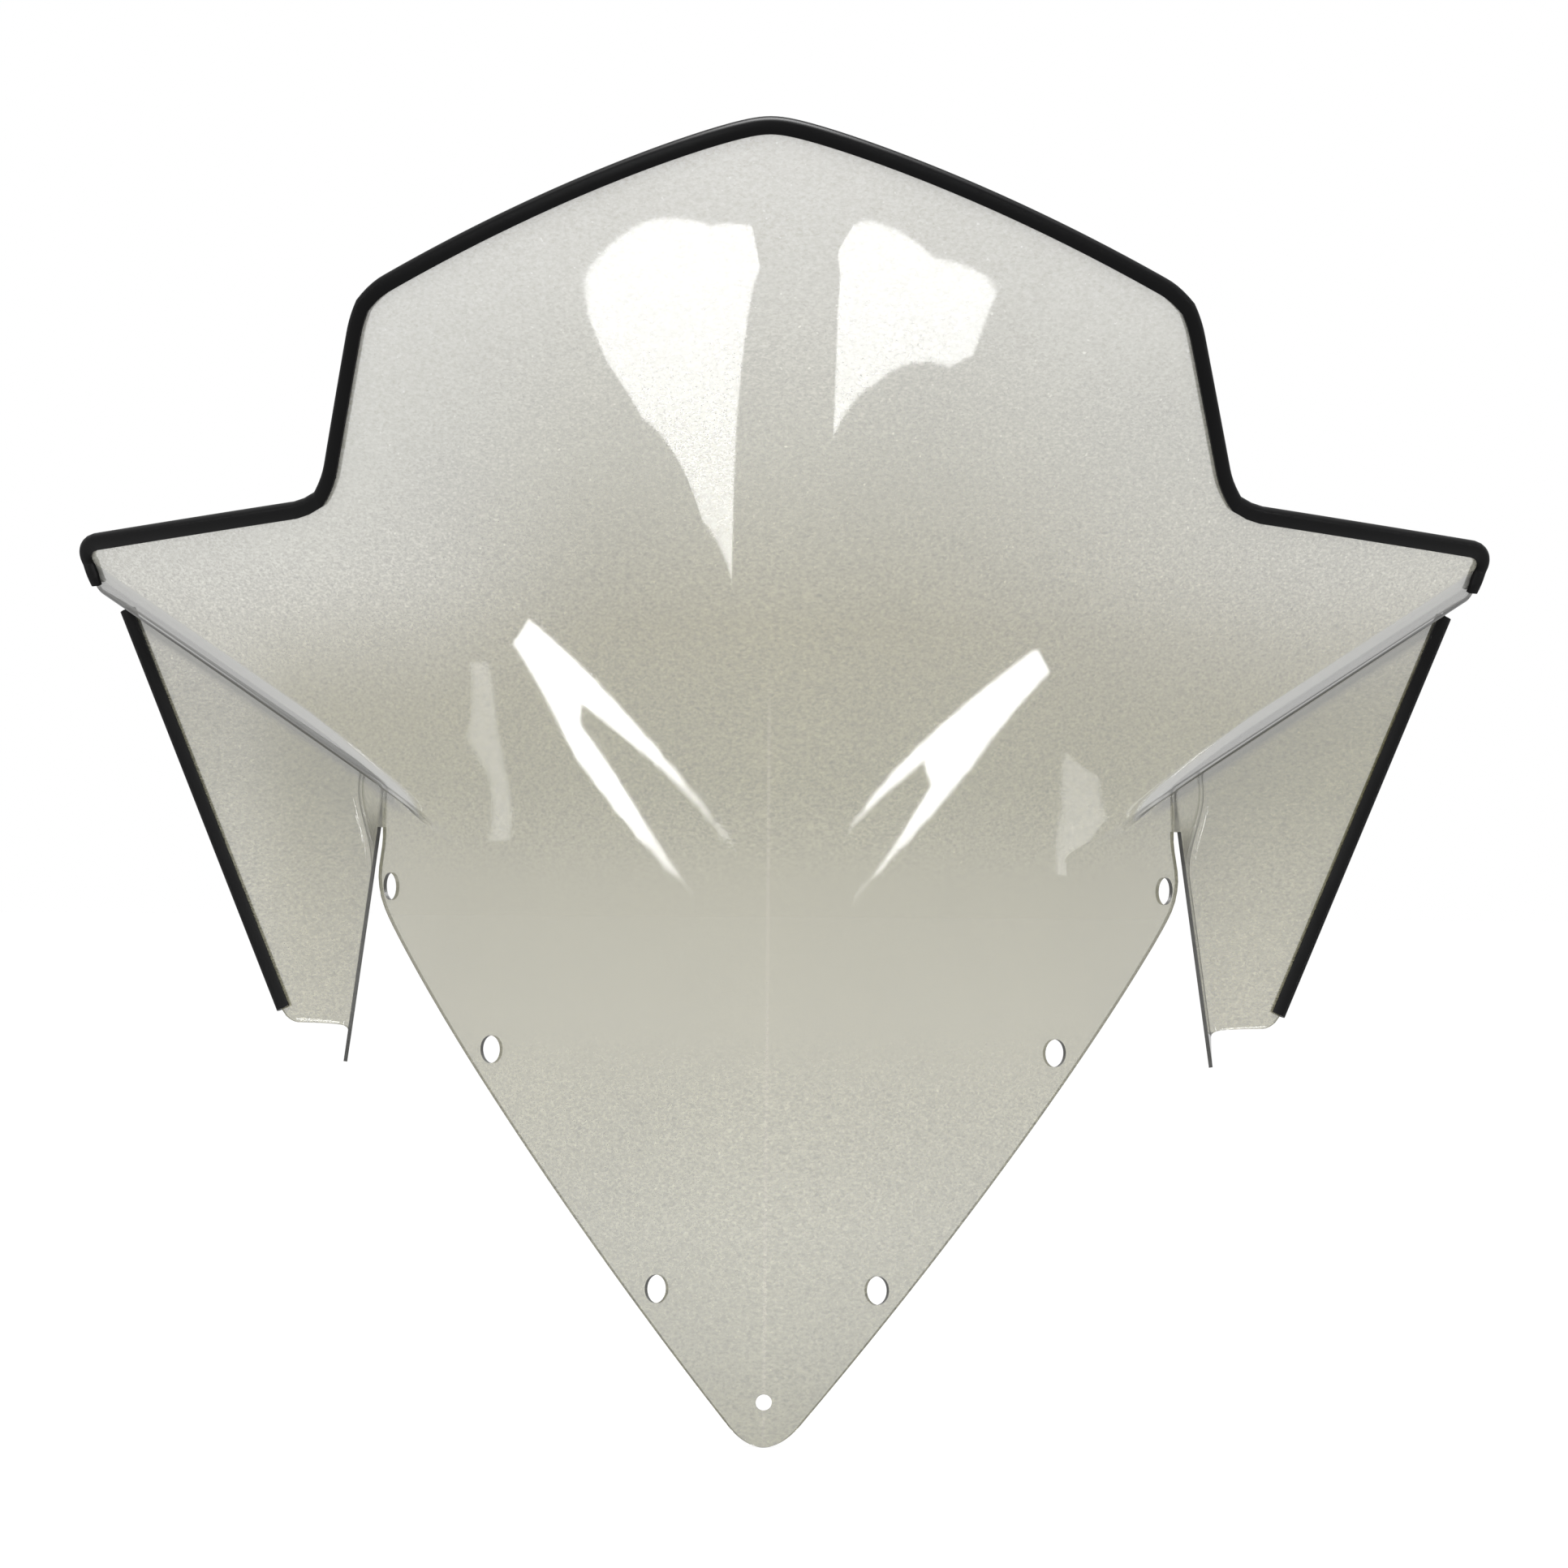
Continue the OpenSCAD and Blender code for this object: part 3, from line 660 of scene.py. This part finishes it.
def trim_frames(path):
    """One matrix for each place on the path: out from the edge, across the sheet, along it."""
    turns = [skin(i, j) for i, j in path]
    normals = [sum(turns[max(0, k - EVEN_OUT):k + EVEN_OUT + 1], Vector()).normalized()
               for k in range(len(path))]
    spine = [sheet_point(i, j) - SHEET_T / 2 * MM * m for (i, j), m in zip(path, normals)]
    frames = []
    for k, (p, across) in enumerate(zip(spine, normals)):
        before, after = spine[max(0, k - 1)], spine[min(len(spine) - 1, k + 1)]
        along = (after - before).normalized()
        out = along.cross(across).normalized()
        across = out.cross(along)
        frames.append(Matrix.Translation(p) @ Matrix((out, across, along)).transposed().to_4x4())
    return frames


def run_trim(name, path, leg, past_start, past_end):
    """Draws the channel's section along a path, as it comes off the extruder. Each end may
    run a little past the path. Every step leaves a cross face hidden inside the rubber."""
    frames = trim_frames(path)
    frames[0].translation -= past_start * MM * frames[0].col[2].to_3d()
    frames[-1].translation += past_end * MM * frames[-1].col[2].to_3d()
    bm = bmesh.new()
    run, girth = bm.verts.layers.float.new("run"), bm.verts.layers.float.new("girth")
    section = trim_section(leg)
    verts = [bm.verts.new(frames[0] @ Vector((a * MM, b * MM, 0))) for a, b in section]
    around = 0
    for k, v in enumerate(verts):
        v[girth] = around
        around += hypot(*(Vector(section[k]) - Vector(section[k - 1]))) * MM if k else 0
    cap = bm.faces.new(verts)
    length = 0
    for old, new in zip(frames, frames[1:]):
        length += (new.translation - old.translation).length
        made = bmesh.ops.extrude_face_region(bm, geom=[cap])["geom"]
        cap = next(g for g in made if isinstance(g, bmesh.types.BMFace))
        bmesh.ops.transform(bm, matrix=new @ old.inverted(), verts=cap.verts)
        for v in cap.verts:
            v[run] = length
    bmesh.ops.recalc_face_normals(bm, faces=bm.faces)
    for f in bm.faces:
        f.smooth = len(f.verts) == 4
    for e in bm.edges:
        if e.calc_face_angle(0) > SHARP:
            e.smooth = False
    mesh = bpy.data.meshes.new(name)
    bm.to_mesh(mesh)
    bm.free()
    piece = bpy.data.objects.new(name, mesh)
    bpy.context.scene.collection.objects.link(piece)
    return piece


top_half = ([(i, COL_END) for i in steps(ROW_ROLL - 2, ROW_WING)]
            + [(ROW_WING, j) for j in steps(COL_END, COL_PANEL)]
            + [(i, COL_PANEL) for i in steps(ROW_WING, ROW_PEAK)]
            + [(ROW_PEAK, j) for j in steps(COL_PANEL, 0)])
side_path = [(i, COL_END) for i in steps(ROW_SIDE, ROW_FOLD)] + [(ROW_FOLD, COL_END)]


def mirrored(path):
    """The same path on the left half, run the other way."""
    return [(i, -j) for i, j in reversed(path)]


# Extruder streaks run along the trim, with fine pores and patches of wear between them.
RUBBER_DARK, RUBBER_WORN = (0.0005, 0.0005, 0.0005, 1), (0.003, 0.003, 0.0035, 1)
STREAKS_ALONG, STREAKS_AROUND = 14, 1800
rubber, n = new_material("black_trim_rubber")
run_at = n.add("ShaderNodeAttribute", {"attribute_name": "run"}, out=2)
girth_at = n.add("ShaderNodeAttribute", {"attribute_name": "girth"}, out=2)
lengthwise = n.add("ShaderNodeCombineXYZ", None, {
    0: run_at * STREAKS_ALONG, 1: girth_at * STREAKS_AROUND})
streak = n.add("ShaderNodeTexNoise", None, {"Vector": lengthwise, "Scale": 1.0, "Detail": 3.0})
where = n.add("ShaderNodeTexCoord", out=3)
pore = n.add("ShaderNodeTexNoise", None, {"Vector": where, "Scale": 1400.0, "Detail": 2.0})
wear = n.add("ShaderNodeTexNoise", None, {"Vector": where, "Scale": 30.0, "Detail": 3.0})
bump = n.add("ShaderNodeBump", None, {
    "Strength": 0.25, "Distance": 0.0001, "Height": streak + pore * 0.6})
shader = n.add("ShaderNodeBsdfPrincipled", None, {
    "Base Color": (wear * 0.6 + streak * 0.4).blend(RUBBER_DARK, RUBBER_WORN),
    "Roughness": streak * 0.12 + wear * 0.1 + 0.3, "Specular IOR Level": 0.12, "Normal": bump})
n.add("ShaderNodeOutputMaterial", None, {"Surface": shader})

top_path = top_half + [(ROW_PEAK, 0)] + mirrored(top_half)
for name, node, path, leg, past_start, past_end in (
        ("top_edge_trim", "top_trim", top_path, LEG, 0, 0),
        ("right_edge_trim", "right_trim", side_path, SIDE_LEG, 0, SIDE_REACH),
        ("left_edge_trim", "left_trim", mirrored(side_path), SIDE_LEG, SIDE_REACH, 0)):
    trim = run_trim(name, path, leg, past_start, past_end)
    trim.data.materials.append(rubber)
    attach(trim, "root")
    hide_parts(node)

# ------------------------------------------------------------ the studio
# A white room: a pale floor under the nose, one wide soft light overhead, low softboxes
# on both sides whose reflections lie on the formed sheet, and one high in front.

scene = bpy.context.scene
scene.view_settings.view_transform = "Standard"

EYE = Vector((0.0101, -3.5, 0.3069))
YAW, ROLL = radians(1.45), radians(0.35)
camera_data = bpy.data.cameras.new("camera")
camera_data.sensor_width, camera_data.lens = 36, 161.9
camera_data.clip_end = 100
camera = bpy.data.objects.new("camera", camera_data)
camera.matrix_world = (Matrix.Rotation(YAW, 4, "Z") @ Matrix.Rotation(-ROLL, 4, "Y")
                       @ Matrix.Translation(EYE) @ Matrix.Rotation(pi / 2, 4, "X"))
scene.collection.objects.link(camera)
scene.camera = camera

world = bpy.data.worlds.new("white_room")
scene.world = world
world.use_nodes = True
world.node_tree.nodes.clear()
n = Socket(world.node_tree)
seen = n.add("ShaderNodeLightPath")
# The room is a little dimmer as a light than it looks.
glow = n.add("ShaderNodeMix", {"data_type": "FLOAT"}, {0: seen, 2: 0.75, 3: 1.0})
room = n.add("ShaderNodeBackground", None, {"Strength": glow, "Color": (1, 1, 1, 1)})
n.add("ShaderNodeOutputWorld", None, {"Surface": room})

FLOOR_R = 14
floor_bm = bmesh.new()
bmesh.ops.create_circle(floor_bm, cap_ends=True, segments=96, radius=FLOOR_R,
                        matrix=Matrix.Translation((0, 0, cad_low.z)))
floor_mesh = bpy.data.meshes.new("floor")
floor_bm.to_mesh(floor_mesh)
floor_bm.free()
floor = bpy.data.objects.new("floor", floor_mesh)
scene.collection.objects.link(floor)
pale, n = new_material("pale_floor")
n.add("ShaderNodeOutputMaterial", None, {"Surface": n.add("ShaderNodeBsdfPrincipled", None, {
    "Base Color": (0.3, 0.3, 0.3, 1), "Roughness": 1.0, "Specular IOR Level": 0.0,
    "Emission Color": (1, 1, 1, 1), "Emission Strength": 0.8})})
floor_mesh.materials.append(pale)
floor.visible_glossy = False

LIGHT_AT, LIGHT_TILT = (0, -0.6, 2.4), radians(15)
top_light = bpy.data.lights.new("overhead", "AREA")
top_light.shape, top_light.size, top_light.size_y, top_light.energy = "RECTANGLE", 3.0, 2.0, 60
overhead = bpy.data.objects.new("overhead", top_light)
overhead.matrix_world = Matrix.Translation(LIGHT_AT) @ Matrix.Rotation(LIGHT_TILT, 4, "X")
overhead.visible_camera = False
scene.collection.objects.link(overhead)

# The cloths' strengths, and the share by which they fade from FADE_LOW up to FADE_HIGH.
FADE_LOW, FADE_HIGH = -9.0, 2.0
softbox_cloth = {}
for name, strength, fade in (("bright_cloth", 13.0, 0.0), ("fading_cloth", 24.0, 0.75),
                             ("soft_cloth", 4.0, 0.0), ("top_cloth", 40.0, 0.0)):
    softbox_cloth[name], n = new_material(name)
    height = n.add("ShaderNodeSeparateXYZ", None, {0: n.add("ShaderNodeTexCoord", out=3)}, 2)
    dimmed = (height.ramp(FADE_LOW, FADE_HIGH) * fade).blend((1, 1, 1, 1), (0, 0, 0, 1))
    n.add("ShaderNodeOutputMaterial", None, {"Surface": n.add("ShaderNodeBsdfPrincipled", None, {
        "Base Color": (0, 0, 0, 1), "Specular IOR Level": 0.0,
        "Emission Color": dimmed, "Emission Strength": strength})})


FAR = 100  # metres, so that every part of the sheet sees a softbox in one direction
LEAN_BELOW, BEND_STEPS = -8, 10


def softbox(name, cloth, facing, corners):
    """A flat lit panel far away, square to one direction, seen only in what reflects it.
    Its corners, like the direction it faces, are azimuths and elevations in degrees."""
    def ray(azimuth, elevation):
        a, e = radians(azimuth), radians(elevation)
        return Vector((sin(a) * cos(e), -cos(a) * cos(e), sin(e)))
    bm = bmesh.new()
    middle, rays = ray(*facing), [ray(*corner) for corner in corners]
    bm.faces.new([bm.verts.new(FAR / r.dot(middle) * r) for r in rays])
    mesh = bpy.data.meshes.new(name)
    bm.to_mesh(mesh)
    bm.free()
    mesh.materials.append(softbox_cloth[cloth])
    panel = bpy.data.objects.new(name, mesh)
    scene.collection.objects.link(panel)
    panel.visible_camera = panel.visible_diffuse = panel.visible_shadow = False


def bend(side, start, reach, decay, low, high, lean=0.0):
    """One edge of a forked softbox, from low to high: upright, then turned in near the top."""
    heights = [low + (high - low) * k / BEND_STEPS for k in range(BEND_STEPS + 1)]
    return [(side * (start - reach * exp(h / decay) - lean * max(0, LEAN_BELOW - h)), h)
            for h in heights]


softbox("left_softbox", "bright_cloth", (-28, -12), (
    (-36, -16.8), (-23, -15.3), (-9, -15), (-6, -12), (-13, -10.5), (-21, -8.5), (-30, -5.5),
    (-41.5, -7.8), (-49.5, -13), (-49.7, -15.8), (-48, -17), (-41, -17)))
softbox("right_softbox", "bright_cloth", (36, -14), (
    (27.5, -16.5), (25, -16), (22, -14), (24.5, -12), (30.5, -9.5), (39, -12.5), (43, -14.5),
    (48, -17), (49, -18.5), (46, -19.5), (39, -17)))
softbox("left_fork", "fading_cloth", (-70, -7), (
    bend(-1, 76.7, 33.5, 2.7, -15.5, 0.5) + bend(-1, 79.5, 35.3, 2.9, 0.5, -9.7)[1:]
    + bend(-1, 79.7, 14, 2.2, -9, 0) + bend(-1, 81.6, 15.8, 2, 0, -15.5, 0.35)[1:]))
softbox("right_fork", "fading_cloth", (72, -7), (
    bend(1, 76.3, 23.5, 3.3, -16.3, -1.3) + bend(1, 77.5, 28, 2.9, -1.3, -6.5)[1:]
    + bend(1, 77, 12, 2, -6, -0.2) + bend(1, 79, 14, 2.2, -0.2, -16, 0.12)[1:]))
softbox("left_strip", "soft_cloth", (-80, -10), (
    (-82, -17), (-85.5, -13), (-86, -10), (-87.3, -6), (-86.7, -5.7), (-85.2, -10), (-84, -12.5),
    (-81.3, -16)))
softbox("right_strip", "soft_cloth", (84, -8), (
    (82.2, -12.5), (83.7, -9), (84.6, -4), (86, -4), (85.3, -8.5), (84, -12)))
softbox("top_panel", "top_cloth", (0, 60), ((-50, 38), (50, 38), (85, 62), (-85, 62)))
